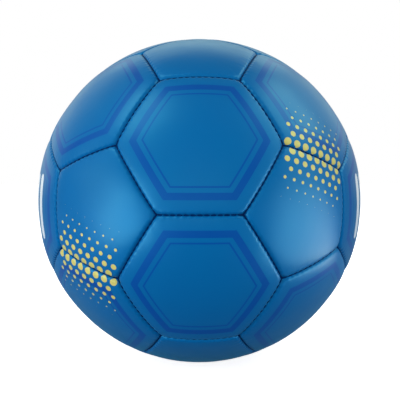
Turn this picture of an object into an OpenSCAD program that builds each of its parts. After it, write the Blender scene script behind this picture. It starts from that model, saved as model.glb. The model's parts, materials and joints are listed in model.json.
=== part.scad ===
// Hand-stitched handball of the men's size: twelve pentagons and twenty hexagons, each a
// leather-like cover with its edge turned in, padded with foam, lined with cloth and sewn
// to its neighbours round an air-filled latex bladder with a rubber valve.
// The origin is the ball's centre, +Z is up and the side that faces the viewer is -Y.

/* [Ball] */
// Distance round the ball, taped over the corners of its panels
ball_circumference = 590; // [540:1:640]
// How much lower the middle of a hexagon lies than its corners
panel_flat = 0.55; // [0.3:0.05:0.9]

/* [Panels] */
// Thickness of the outer cover
cover_t = 1.2; // [0.9:0.1:1.5]
// Thickness of the cover's edge, which is turned in along every seam
hem_t = 1.1; // [0.8:0.1:1.5]
// How far the turned-in edges reach in from the ball's surface
hem_depth = 4.6; // [4.2:0.1:5.6]
// Radius at which a panel's face rolls into its seam
shoulder_r = 2.2; // [1.6:0.1:2.6]
// Gap between the turned-in edges of two panels in a seam
seam_gap = 0.1; // [0.05:0.05:0.3]

/* [Padding and lining] */
// Thickness of the cloth lining
lining_t = 0.9; // [0.6:0.1:1.2]
// Gap between the plies, which the glue fills
ply_gap = 0.05; // [0.03:0.01:0.1]

/* [Seam thread] */
// Diameter of the waxed thread
thread_d = 0.8; // [0.5:0.1:1.2]
// Gap between the thread and the shoulders that it lies between
thread_gap = 0.05; // [0.03:0.01:0.1]
// Gap that a thread leaves to the corner where three seams meet
thread_end_gap = 0.6; // [0.5:0.1:2]

/* [Bladder] */
// Gap between the lining and the bladder
bladder_gap = 0.1; // [0.05:0.05:0.3]
// Wall of the bladder
bladder_t = 1; // [0.7:0.1:1.4]
// Diameter of the patches that stiffen the bladder at the valve and opposite it
patch_d = 44; // [34:1:60]
// Thickness of those patches
patch_t = 0.8; // [0.5:0.1:1.2]

/* [Valve] */
// Diameter of the hole in the valve panel
valve_hole_d = 8; // [7.8:0.1:9]
// Diameter of the valve's neck, which stands in that hole
neck_d = 7.4; // [7:0.1:7.6]
// How far the neck's top lies below the middle of the panel
neck_recess = 0.5; // [0.3:0.1:0.9]
// Gap round the neck where it passes through the bladder and its patch
neck_gap = 0.1; // [0.05:0.05:0.2]
// Diameter of the valve's flange
flange_d = 24; // [18:1:30]
// Thickness of the valve's flange
flange_t = 1.2; // [0.8:0.1:1.6]
// Diameter of the valve's boss inside the bladder
boss_d = 11; // [8:0.5:14]
// Length of the valve's boss below its flange
boss_l = 13; // [13:0.5:18]
// Diameter of the core's head
head_d = 5.4; // [5:0.1:6]
// Thickness of the core's head
head_t = 1.6; // [1.2:0.1:2.2]
// How far the core's head lies below the top of the neck
head_recess = 0.2; // [0:0.05:0.3]
// Gap round and under the core's head
head_gap = 0.1; // [0.05:0.05:0.2]
// Diameter of the core's stem
stem_d = 4.2; // [3.6:0.1:4.4]
// Running gap round the stem
stem_gap = 0.05; // [0.02:0.01:0.1]
// Length of the core's stem
stem_l = 16; // [12:0.5:17]
// Diameter of the port for the inflating needle
port_d = 2.6; // [2.4:0.1:2.8]
// Depth of that port, which a slit closes beyond it
port_l = 8; // [6:0.5:10]
// Chamfer on the core's ends and at the mouth of its port
core_chamfer = 0.2; // [0.1:0.05:0.35]

/* [Hidden] */
// How far a cutter passes the faces that it cuts
overrun = 2;
// How far the shoulder's round stands off the faces that it meets
blend_step = 0.03;
// Facets round the large spheres and rings, and round small parts
large_fn = 128;
small_fn = 48;

// Radius to the corners of the panels
ball_r = ball_circumference / (2 * PI);

// Golden ratio, which sets the axes of the panels
golden = (1 + sqrt(5)) / 2;
// A panel's straight edge as a share of the radius to the panels' corners
edge_share = 4 / sqrt(58 + 18 * sqrt(5));
// The two kinds of panel, by their count of sides
pentagon_sides = 5;
hexagon_sides = 6;
// Neighbouring pentagons lie 2 apart on the unscaled axes below, and the next 2 * golden apart
pentagon_reach = golden ^ 2;
// On the same axes, the three pentagons round a hexagon lie nearer to it than this
hexagon_reach = golden;
// Angle from a panel's axis to its corners and to the middle of its sides
function corner_angle(sides) = asin(edge_share / (2 * sin(180 / sides)));
function side_angle(sides) = atan(tan(corner_angle(sides)) * cos(180 / sides));

// A panel's face is a sphere whose centre lies this far behind the ball's centre
face_drop = (ball_r ^ 2 - (ball_r - panel_flat) ^ 2)
    / (2 * (ball_r - panel_flat - ball_r * cos(corner_angle(hexagon_sides))));
// Radius of that sphere, which passes through the panel's corners
function face_r(sides) = sqrt(ball_r ^ 2 + face_drop ^ 2
    + 2 * ball_r * face_drop * cos(corner_angle(sides)));

// Radii of the ball-centred faces, from the lining inwards
inner_r = ball_r - hem_depth;
lining_r = inner_r + lining_t;
bladder_r = inner_r - bladder_gap;
patch_r = bladder_r - bladder_t - ply_gap;
flange_r = patch_r - patch_t - ply_gap;

// How far the edge of a cover and the edge of its padding stay from the seam's plane
cover_inset = seam_gap / 2;
padding_inset = cover_inset + hem_t + ply_gap;

// Centre of the shoulder's round, across the seam and out from the seam's own centre
shoulder_across = cover_inset + shoulder_r - blend_step;
function shoulder_out(sides) = sqrt((face_r(sides) - shoulder_r) ^ 2
    - (shoulder_across + face_drop * sin(side_angle(sides))) ^ 2) + blend_step;

// Radius and half angle of a thread, seen from the centre of the seam that it lies in
seam_drop = face_drop * cos(side_angle(hexagon_sides));
thread_run_r = shoulder_out(hexagon_sides)
    + sqrt((shoulder_r + thread_d / 2 + thread_gap) ^ 2 - shoulder_across ^ 2);
seam_half_angle = asin(edge_share / 2);
thread_half_angle = atan2(ball_r * sin(seam_half_angle), ball_r * cos(seam_half_angle) + seam_drop)
    - thread_end_gap / thread_run_r * 180 / PI;

// Heights on the valve's axis
crown_z = face_r(hexagon_sides) - face_drop;
neck_z = crown_z - neck_recess;
boss_z = flange_r - flange_t - boss_l;
head_z = neck_z - head_recess;
stem_z = head_z - head_t;

// Every pattern below is turned round the three axes
function turned(v) = [v, [v[2], v[0], v[1]], [v[1], v[2], v[0]]];
function unit(v) = v / norm(v);
function near(axes, v, reach) = [for (w = axes) if (w != v && norm(w - v) <= reach) w];

pentagon_axes = [for (s = [-1, 1], t = [-1, 1]) each turned([s, t * golden, 0])];
cube_hexagon_axes = [for (s = [-1, 1], t = [-1, 1], u = [-1, 1]) [s, t, u]];
side_hexagon_axes = [for (s = [-1, 1], t = [-1, 1]) each turned([0, s * golden, t / golden])];
hexagon_axes = concat(side_hexagon_axes, cube_hexagon_axes);
valve_axis = [0, golden, 1 / golden];
plain_hexagon_axes = [for (v = hexagon_axes) if (v != valve_axis) v];

// Seams as triples: the middle of the seam and its two ends
hexagon_seams = [
    for (i = [0 : len(pentagon_axes) - 1], j = [0 : i])
    let (a = pentagon_axes[i], b = pentagon_axes[j])
    if (i != j && norm(a - b) <= pentagon_reach) [a + b, 2 * a + b, a + 2 * b]
];
pentagon_seams = [
    for (a = pentagon_axes)
    let (ring = near(pentagon_axes, a, pentagon_reach))
    for (i = [0 : len(ring) - 1], j = [0 : i])
    let (b = ring[i], c = ring[j])
    if (i != j && norm(b - c) <= pentagon_reach) [4 * a + b + c, 2 * a + b, 2 * a + c]
];

function two_digits(n) = str(n < 10 ? "0" : "", n);
pentagon_nodes = [for (i = [1 : len(pentagon_axes)]) str("pentagon_panel_", two_digits(i))];
hexagon_nodes = [for (i = [1 : len(plain_hexagon_axes)]) str("hexagon_panel_", two_digits(i))];

// Stands a child that points up +Z on an axis of the ball, with +X towards a corner
module on_axis(axis, towards) {
    z = unit(axis);
    x = unit(towards - z * (towards * z));
    y = cross(z, x);
    multmatrix([[x[0], y[0], z[0], 0], [x[1], y[1], z[1], 0], [x[2], y[2], z[2], 0]])
        children();
}

module on_pentagon(axis) {
    on_axis(axis, 2 * axis + near(pentagon_axes, axis, pentagon_reach)[0]) children();
}

module on_hexagon(axis) {
    corners = near(pentagon_axes, axis, hexagon_reach);
    on_axis(axis, 2 * corners[0] + corners[1]) children();
}

// Stands a child on every side of a panel: +X crosses the seam, +Z is the seam's middle
module each_side(sides) {
    for (i = [0 : sides - 1])
        rotate([0, 0, (i + 1 / 2) * 360 / sides])
            rotate([0, side_angle(sides), 0])
                children();
}

// Sphere whose poles lie away from the panel
module round_body(r) {
    rotate([90, 0, 0])
        sphere(r = r, $fn = large_fn);
}

// Everything inside the planes of a panel's seams, less an inset
module sector(sides, inset) {
    block = ball_r + overrun;
    intersection_for (i = [0 : sides - 1])
        rotate([0, 0, (i + 1 / 2) * 360 / sides])
            rotate([0, side_angle(sides), 0])
                translate([-block - inset, -block, 0])
                    cube([block, 2 * block, block]);
}

// Ring that rolls a panel's face into one seam
module shoulder_cutter(sides) {
    across = -shoulder_across;
    out = shoulder_out(sides);
    side = shoulder_r + overrun;
    translate([0, 0, -face_drop * cos(side_angle(sides))])
        rotate([0, 90, 0])
            rotate_extrude($fn = large_fn)
                difference() {
                    translate([out, across])
                        square(side);
                    translate([out, across])
                        circle(r = shoulder_r, $fn = small_fn);
                }
}

// The face of a panel taken in by a depth
module face_body(sides, depth) {
    translate([0, 0, -face_drop])
        round_body(face_r(sides) - depth);
}

// Cover with its shoulders and its turned-in edge
module cover(sides) {
    difference() {
        intersection() {
            face_body(sides, 0);
            sector(sides, cover_inset);
        }
        each_side(sides)
            shoulder_cutter(sides);
        intersection() {
            face_body(sides, cover_t);
            sector(sides, cover_inset + hem_t);
        }
        round_body(inner_r);
    }
}

module foam_pad(sides) {
    difference() {
        intersection() {
            face_body(sides, cover_t + ply_gap);
            sector(sides, padding_inset);
        }
        round_body(lining_r + ply_gap);
    }
}

module cloth_lining(sides) {
    difference() {
        intersection() {
            round_body(lining_r);
            sector(sides, padding_inset);
        }
        round_body(inner_r);
    }
}

module valve_hole() {
    cylinder(h = ball_r + overrun, d = valve_hole_d, $fn = small_fn);
}

module pentagon_panel(axis) {
    color("#0070b4")
        on_pentagon(axis)
            cover(pentagon_sides);
}

module hexagon_panel(axis) {
    color("#0867a5")
        on_hexagon(axis)
            cover(hexagon_sides);
}

module valve_panel() {
    color("#0867a5")
        on_hexagon(valve_axis)
            difference() {
                cover(hexagon_sides);
                valve_hole();
            }
}

module pentagon_foams() {
    color("#e9e4d4")
        for (axis = pentagon_axes)
            on_pentagon(axis)
                foam_pad(pentagon_sides);
}

module hexagon_foams() {
    color("#e9e4d4") {
        for (axis = plain_hexagon_axes)
            on_hexagon(axis)
                foam_pad(hexagon_sides);
        on_hexagon(valve_axis)
            difference() {
                foam_pad(hexagon_sides);
                valve_hole();
            }
    }
}

module pentagon_linings() {
    color("#d8d2bd")
        for (axis = pentagon_axes)
            on_pentagon(axis)
                cloth_lining(pentagon_sides);
}

module hexagon_linings() {
    color("#d8d2bd") {
        for (axis = plain_hexagon_axes)
            on_hexagon(axis)
                cloth_lining(hexagon_sides);
        on_hexagon(valve_axis)
            difference() {
                cloth_lining(hexagon_sides);
                valve_hole();
            }
    }
}

// One thread, laid in the groove between the shoulders of two panels
module thread_run(seam) {
    x = unit(seam[0]);
    y = unit(seam[1] - seam[2]);
    z = cross(x, y);
    multmatrix([[x[0], y[0], z[0], 0], [x[1], y[1], z[1], 0], [x[2], y[2], z[2], 0]])
        translate([-seam_drop, 0, 0])
            rotate([0, 0, -thread_half_angle])
                rotate_extrude(angle = 2 * thread_half_angle, $fn = large_fn)
                    translate([thread_run_r, 0])
                        circle(d = thread_d, $fn = small_fn);
}

module pentagon_seam_threads() {
    color("#0a1c3c")
        for (seam = pentagon_seams)
            thread_run(seam);
}

module hexagon_seam_threads() {
    color("#0a1c3c")
        for (seam = hexagon_seams)
            thread_run(seam);
}

module bladder() {
    color("#c9a06a")
        on_hexagon(valve_axis)
            difference() {
                round_body(bladder_r);
                round_body(bladder_r - bladder_t);
                cylinder(h = ball_r, d = neck_d + 2 * neck_gap, $fn = small_fn);
            }
}

// Disc cut from a ball-centred shell, up the +Z axis
module shell_disc(r, t, d) {
    difference() {
        intersection() {
            round_body(r);
            cylinder(h = ball_r, d = d, $fn = large_fn);
        }
        round_body(r - t);
    }
}

module valve_patch() {
    color("#b98c54")
        on_hexagon(valve_axis)
            difference() {
                shell_disc(patch_r, patch_t, patch_d);
                cylinder(h = ball_r, d = neck_d + 2 * neck_gap, $fn = small_fn);
            }
}

module balance_patch() {
    color("#b98c54")
        on_hexagon(-valve_axis)
            shell_disc(patch_r, patch_t, patch_d);
}

// Neck, flange and boss in one, with the bore and the seat of the core
module valve_housing() {
    color("#23262b")
        on_hexagon(valve_axis)
            difference() {
                union() {
                    shell_disc(flange_r, flange_t, flange_d);
                    translate([0, 0, boss_z])
                        cylinder(h = boss_l + flange_t / 2, d = boss_d, $fn = small_fn);
                    translate([0, 0, flange_r - flange_t])
                        cylinder(h = neck_z - flange_r + flange_t, d = neck_d, $fn = small_fn);
                }
                translate([0, 0, stem_z - head_gap])
                    cylinder(h = head_t + head_gap + overrun, d = head_d + 2 * head_gap,
                        $fn = small_fn);
                translate([0, 0, boss_z - overrun])
                    cylinder(h = neck_z - boss_z + overrun, d = stem_d + 2 * stem_gap,
                        $fn = small_fn);
            }
}

// Mushroom-shaped plug: half its outline, turned round the valve's axis
module valve_core() {
    color("#34383f")
        on_hexagon(valve_axis)
            rotate_extrude($fn = small_fn)
                polygon([
                    [0, stem_z - stem_l],
                    [stem_d / 2 - core_chamfer, stem_z - stem_l],
                    [stem_d / 2, stem_z - stem_l + core_chamfer],
                    [stem_d / 2, stem_z],
                    [head_d / 2, stem_z],
                    [head_d / 2, head_z - core_chamfer],
                    [head_d / 2 - core_chamfer, head_z],
                    [port_d / 2 + core_chamfer, head_z],
                    [port_d / 2, head_z - core_chamfer],
                    [port_d / 2, head_z - port_l],
                    [0, head_z - port_l]
                ]);
}

for (i = [0 : len(pentagon_axes) - 1])
    pentagon_panel(pentagon_axes[i]);
for (i = [0 : len(plain_hexagon_axes) - 1])
    hexagon_panel(plain_hexagon_axes[i]);
valve_panel();
pentagon_foams();
hexagon_foams();
pentagon_linings();
hexagon_linings();
pentagon_seam_threads();
hexagon_seam_threads();
bladder();
valve_patch();
balance_patch();
valve_housing();
valve_core();
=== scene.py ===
"""Looks of a hand-stitched handball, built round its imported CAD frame.

The ball is a truncated icosahedron of thirty-two padded panels. Every cover is one mesh
whose face, shoulders, puckers and turned-in edge follow a rule, so a Geometry Nodes tree
shapes it; another tree lays the stitches along the ninety seams. The plies, the bladder
and the valve keep their CAD shapes and get their own finishes.
"""

from __future__ import annotations

import json
import logging
import math
from collections.abc import Callable, Iterable
from dataclasses import asdict, dataclass
from enum import Enum
from functools import cache, partial
from typing import NamedTuple

import bpy
import numpy as np
from bpy.types import ID, Collection, Material, Mesh, Node, NodeSocket, NodeTree, Object, World
from mathutils import Matrix, Vector

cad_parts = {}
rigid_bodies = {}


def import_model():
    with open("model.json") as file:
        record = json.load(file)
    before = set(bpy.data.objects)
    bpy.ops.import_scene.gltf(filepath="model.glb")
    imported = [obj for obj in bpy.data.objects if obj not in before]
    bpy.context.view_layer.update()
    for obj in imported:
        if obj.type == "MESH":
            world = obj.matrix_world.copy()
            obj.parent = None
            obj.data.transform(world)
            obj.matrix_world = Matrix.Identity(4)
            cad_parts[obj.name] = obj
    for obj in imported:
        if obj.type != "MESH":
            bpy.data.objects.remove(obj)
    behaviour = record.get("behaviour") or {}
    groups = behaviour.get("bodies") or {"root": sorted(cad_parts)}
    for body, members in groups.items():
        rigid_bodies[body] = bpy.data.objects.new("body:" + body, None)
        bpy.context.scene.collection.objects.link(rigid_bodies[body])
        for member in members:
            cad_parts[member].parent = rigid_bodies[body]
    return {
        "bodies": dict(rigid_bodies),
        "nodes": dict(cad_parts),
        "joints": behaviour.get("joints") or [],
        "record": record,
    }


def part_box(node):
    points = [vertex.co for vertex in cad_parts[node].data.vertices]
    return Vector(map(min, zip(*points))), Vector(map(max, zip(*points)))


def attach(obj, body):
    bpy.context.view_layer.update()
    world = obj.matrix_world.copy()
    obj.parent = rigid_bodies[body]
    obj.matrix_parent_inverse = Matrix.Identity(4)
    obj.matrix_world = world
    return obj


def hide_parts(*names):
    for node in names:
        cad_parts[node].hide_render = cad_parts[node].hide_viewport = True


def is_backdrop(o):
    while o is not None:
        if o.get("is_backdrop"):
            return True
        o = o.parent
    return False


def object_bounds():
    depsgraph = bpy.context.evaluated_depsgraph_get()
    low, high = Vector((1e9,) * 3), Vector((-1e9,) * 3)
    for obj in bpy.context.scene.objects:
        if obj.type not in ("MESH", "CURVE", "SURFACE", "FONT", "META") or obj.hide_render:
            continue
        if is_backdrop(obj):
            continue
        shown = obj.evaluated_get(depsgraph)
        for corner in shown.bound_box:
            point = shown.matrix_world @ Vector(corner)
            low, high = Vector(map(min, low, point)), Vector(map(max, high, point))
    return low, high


Adder = Callable[..., Node]

LOG = logging.getLogger("handball")
MM = 0.001
IMAGE_PIXELS = 400
VECTOR = "ShaderNodeVectorMath"
NOISE = "ShaderNodeTexNoise"
BUMP = "ShaderNodeBump"
MIX = "ShaderNodeMix"
SKIN = "ShaderNodeBsdfPrincipled"
READ = "GeometryNodeInputNamedAttribute"
# Unit vectors that lie nearer than this stand for one direction
SAME = 0.01
# A Wave node of scale 1 repeats after this length in metres
WAVE_STEP = math.tau / 20


class PanelKind(Enum):
    """The two kinds of panel, by their number of sides."""

    PENTAGON = 5
    HEXAGON = 6


PENTAGON, HEXAGON = PanelKind


def linear(code: str) -> tuple[float, ...]:
    """Turns an sRGB colour, written as "#rrggbb", into linear RGBA with an alpha of 1."""
    shown = [int(code[i : i + 2], 16) / 255 for i in (1, 3, 5)]
    return (*(c / 12.92 if c <= 0.04045 else ((c + 0.055) / 1.055) ** 2.4 for c in shown), 1.0)


def unit(vector: Vector) -> Vector:
    """Gives the vector's direction at length one."""
    return vector.normalized()


def add_node(tree: NodeTree, kind: str, *sources: object, **settings: object) -> Node:
    """Adds one node, sets it up and links what feeds it.

    Args:
        tree: The node tree that takes the node.
        kind: The node's type name, or a Math node's operation, such as "ADD".
        sources: One entry for each enabled input in order: a node, a socket, a value, or
            None to leave the input as it is.
        settings: Properties of the node, or, where the node has no such property, an
            input's name with underscores for its spaces.

    Returns:
        The new node.
    """
    if kind.isupper():
        settings["operation"] = kind
        kind = "ShaderNodeMath"
    made = tree.nodes.new(kind)
    named = {}
    for key, value in settings.items():
        if hasattr(made, key):
            setattr(made, key, value)
        else:
            named[key.replace("_", " ")] = value
    shown = [s for s in made.inputs if s.enabled]
    pairs = [*zip(shown, sources), *((made.inputs[key], value) for key, value in named.items())]
    for socket, source in pairs:
        if isinstance(source, Node):
            source = next(s for s in source.outputs if s.enabled)
        if isinstance(source, NodeSocket):
            tree.links.new(source, socket)
        elif source is not None:
            socket.default_value = source
    return made


def fresh_nodes(owner: Material | World) -> Adder:
    """Empties the node tree of a material or a world.

    Args:
        owner: The material or world.

    Returns:
        add_node for its tree.
    """
    owner.use_nodes = True
    owner.node_tree.nodes.clear()
    return partial(add_node, owner.node_tree)


def open_form(name: str, sizes: Iterable[str], counts: Iterable[str] = ()) -> NodeTree:
    """Opens a Geometry Nodes tree that takes a mesh, named numbers and a material.

    Args:
        name: The tree's name.
        sizes: Names of its inputs that are measures.
        counts: Names of its inputs that are whole numbers.

    Returns:
        The tree with its sockets, without nodes.
    """
    tree = bpy.data.node_groups.new(name, "GeometryNodeTree")
    inputs = [("Geometry", "Geometry"), *((size, "Float") for size in sizes)]
    inputs += [*((count, "Int") for count in counts), ("Material", "Material")]
    for label, kind in inputs:
        tree.interface.new_socket(label, in_out="INPUT", socket_type=f"NodeSocket{kind}")
    tree.interface.new_socket("Geometry", in_out="OUTPUT", socket_type="NodeSocketGeometry")
    return tree


def close_form(add: Adder, shape: Node, material: NodeSocket) -> None:
    """Ends a Geometry Nodes tree with real geometry in its material.

    Args:
        add: add_node for the tree.
        shape: What the tree has made.
        material: The tree's input for the material.
    """
    real = add("GeometryNodeRealizeInstances", shape)
    dressed = add("GeometryNodeSetMaterial", real, None, material)
    add("NodeGroupOutput", dressed)


def as_inputs(sizes: object) -> dict[str, float]:
    """Names a dataclass's values as a tree's inputs, such as "Roll Radius" for roll_radius."""
    return {name.replace("_", " ").title(): value for name, value in asdict(sizes).items()}


def put_in_scene(name: str, data: ID) -> Object:
    """Makes an object at the origin of the scene.

    Args:
        name: The object's name.
        data: Its mesh, lamp or camera.

    Returns:
        The object.
    """
    made = bpy.data.objects.new(name, data)
    bpy.context.scene.collection.objects.link(made)
    return made


def run_form(tree: NodeTree, mesh: Mesh, name: str, values: dict[str, object]) -> Mesh:
    """Runs a Geometry Nodes tree on a mesh and keeps the result as a plain mesh.

    Args:
        tree: The node tree.
        mesh: The mesh that it starts from.
        name: Name of the result.
        values: Value of each named input.

    Returns:
        The evaluated mesh, shaded smooth.
    """
    carrier = put_in_scene(name, mesh)
    modifier = carrier.modifiers.new("form", "NODES")
    modifier.node_group = tree
    for socket in tree.interface.items_tree:
        if socket.in_out == "INPUT" and socket.name in values:
            modifier[socket.identifier] = values[socket.name]
    bpy.context.view_layer.update()
    graph = bpy.context.evaluated_depsgraph_get()
    ready = carrier.evaluated_get(graph)
    made = bpy.data.meshes.new_from_object(ready, preserve_all_data_layers=True, depsgraph=graph)
    made.name = name
    made.shade_smooth()
    carrier.modifiers.clear()
    bpy.data.objects.remove(carrier)
    return made


@dataclass(frozen=True)
class BallShape:
    """Sizes that the whole ball follows, in metres, as in the CAD model."""

    circumference: float = 590 * MM
    panel_flat: float = 0.55 * MM
    hem_depth: float = 4.6 * MM
    hem_t: float = 1.1 * MM
    cover_t: float = 1.2 * MM
    half_gap: float = 0.05 * MM
    stitches_per_seam: int = 13

    @property
    def golden(self) -> float:
        """The golden ratio, which sets the panels' axes."""
        return (1 + math.sqrt(5)) / 2

    @property
    def side_axis(self) -> Vector:
        """Axis of the hexagon at the right of the front, half way up."""
        return unit(Vector((self.golden, -1 / self.golden, 0)))

    @property
    def corner_r(self) -> float:
        """Radius to the panels' corners."""
        return self.circumference / math.tau

    @property
    def edge_share(self) -> float:
        """A panel's straight edge as a share of the radius to its corners."""
        return 4 / math.sqrt(58 + 18 * math.sqrt(5))

    @property
    def half_edge(self) -> float:
        """Half the angle that a seam spans, seen from the ball's centre."""
        return math.asin(self.edge_share / 2)

    def corner_angle(self, kind: PanelKind) -> float:
        """Angle from a panel's axis to its corners."""
        return math.asin(self.edge_share / (2 * math.sin(math.pi / kind.value)))

    def side_angle(self, kind: PanelKind) -> float:
        """Angle from a panel's axis to the middle of its sides."""
        return math.atan(math.tan(self.corner_angle(kind)) * math.cos(math.pi / kind.value))

    @property
    def face_drop(self) -> float:
        """How far the centre of a panel's face lies behind the ball's centre.

        Returns:
            The distance at which the middle of a hexagon lies panel_flat below its corners.
        """
        crown = self.corner_r - self.panel_flat
        rise = crown - self.corner_r * math.cos(self.corner_angle(HEXAGON))
        return (self.corner_r**2 - crown**2) / (2 * rise)

    def face_r(self, kind: PanelKind) -> float:
        """Radius of the sphere that a panel's face lies on."""
        swing = 2 * self.corner_r * self.face_drop * math.cos(self.corner_angle(kind))
        return math.sqrt(self.corner_r**2 + self.face_drop**2 + swing)

    @property
    def pentagon_axes(self) -> list[Vector]:
        """Axes of the twelve pentagons, whose parts are 0, 1 and the golden ratio, with signs."""
        seeds = [Vector((s, t * self.golden, 0)) for s in (-1, 1) for t in (-1, 1)]
        return [Vector((v[i], v[(i + 1) % 3], v[(i + 2) % 3])) for v in seeds for i in range(3)]

    @property
    def seams(self) -> list[tuple[PanelKind, Vector, Vector]]:
        """Every seam of the ball.

        Returns:
            The kind of each seam and its two ends; a pentagon's seams are PENTAGON.
        """
        axes = self.pentagon_axes
        # Half way between the distance of neighbouring axes and the next one
        near = (2 + 2 * self.golden) / 2
        found = []
        for i, a in enumerate(axes):
            ring = [b for b in axes if b is not a and (a - b).length < near]
            for j, b in enumerate(ring):
                if axes.index(b) > i:
                    found.append((HEXAGON, 2 * a + b, a + 2 * b))
                for c in ring[j + 1 :]:
                    if (b - c).length < near:
                        found.append((PENTAGON, 2 * a + b, 2 * a + c))
        return found

    def first_corner(self, axis: Vector, kind: PanelKind) -> Vector:
        """Picks the corner of a panel that comes first by x, then y, then z.

        Args:
            axis: The panel's axis, at length one.
            kind: Pentagon or hexagon.

        Returns:
            The direction of the corner.
        """
        digits = 6
        ends = {tuple(round(x, digits) for x in unit(e)) for _, p, q in self.seams for e in (p, q)}
        reach = math.cos(self.corner_angle(kind)) - SAME
        return Vector(min(e for e in ends if Vector(e).dot(axis) > reach))


@dataclass(frozen=True)
class Roll:
    """How a cover rolls into its seams, in metres; each size is an input of the tree."""

    roll_radius: float = 1.9 * MM
    roll_blend: float = 2.4 * MM
    pinch_share: float = 0.3
    broad_depth: float = 0.6 * MM
    broad_reach: float = 3.0 * MM
    broad_blend: float = 10.0 * MM
    pucker_depth: float = 0.12 * MM
    pucker_reach: float = 1.5 * MM
    wrinkle_height: float = 0.14 * MM
    wrinkle_reach: float = 3.4 * MM
    wrinkle_length: float = 9.0 * MM
    wrinkle_spacing: float = 2.6 * MM
    uneven_height: float = 0.2 * MM
    uneven_size: float = 26.0 * MM


@dataclass(frozen=True)
class Aim:
    """Nodes that say where a point lies on its panel.

    heading is its direction and sine and cosine are those of its angle from the axis.
    from_seam is its distance from the nearest seam, tight and broad are that distance
    rounded at the corners, along is its angle along the seam, and side counts the sides.
    """

    heading: Node
    sine: Node
    cosine: Node
    from_seam: Node
    tight: Node
    broad: Node
    along: Node
    side: Node


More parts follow.
